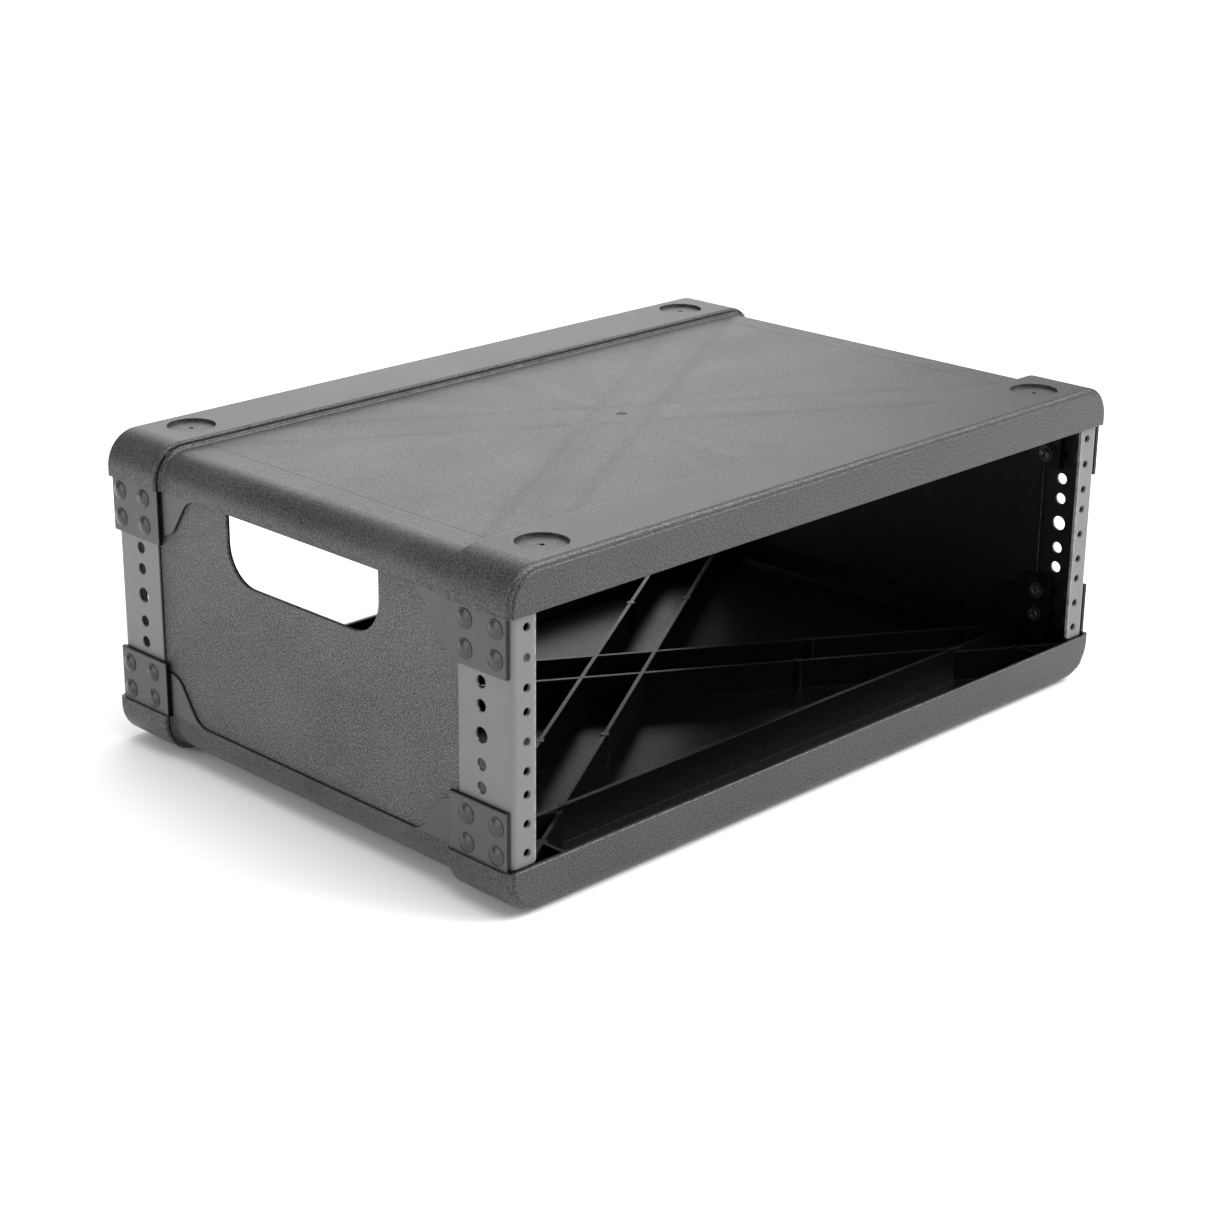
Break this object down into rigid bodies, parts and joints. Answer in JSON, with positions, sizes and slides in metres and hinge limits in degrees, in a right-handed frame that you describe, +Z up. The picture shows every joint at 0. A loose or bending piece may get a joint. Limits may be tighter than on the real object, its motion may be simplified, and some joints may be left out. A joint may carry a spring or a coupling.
{
  "type": "equipment rack case",
  "caption": "Open-ended moulded carrying case with steel rack rails front and rear, side hand holes, ribbed inner faces and recessed feet, for 19-inch audio equipment.",
  "frame": {"origin": "on the ground, in the middle of the four feet", "axes": "+X to the case's right side along its width, -Y out of the front opening, +Z up"},
  "size_m": [0.4962, 0.334, 0.188],
  "materials": {
    "shell_plastic": "fine moulded grain outside, smooth and slightly glossy inside",
    "panel_plastic": "coarse pebbled grain",
    "rail_steel": "smooth satin grey",
    "rivet_black": "satin black",
    "washer_black": "satin black",
    "foot_rubber": "matte",
    "screw_steel": "zinc plated"
  },
  "bodies": {
    "root": {"top_shell": "shell_plastic", "bottom_shell": "shell_plastic", "rail_front_left": "rail_steel", "rail_front_right": "rail_steel", "rail_rear_left": "rail_steel", "rail_rear_right": "rail_steel", "side_panel_left": "panel_plastic", "side_panel_right": "panel_plastic", "rivets_front_left": "rivet_black", "rivets_front_right": "rivet_black", "rivets_rear_left": "rivet_black", "rivets_rear_right": "rivet_black", "washers_front_left": "washer_black", "washers_front_right": "washer_black", "washers_rear_left": "washer_black", "washers_rear_right": "washer_black", "foot_front_left": "foot_rubber", "foot_front_right": "foot_rubber", "foot_rear_left": "foot_rubber", "foot_rear_right": "foot_rubber", "foot_screws": "screw_steel"}
  },
  "joints": []
}
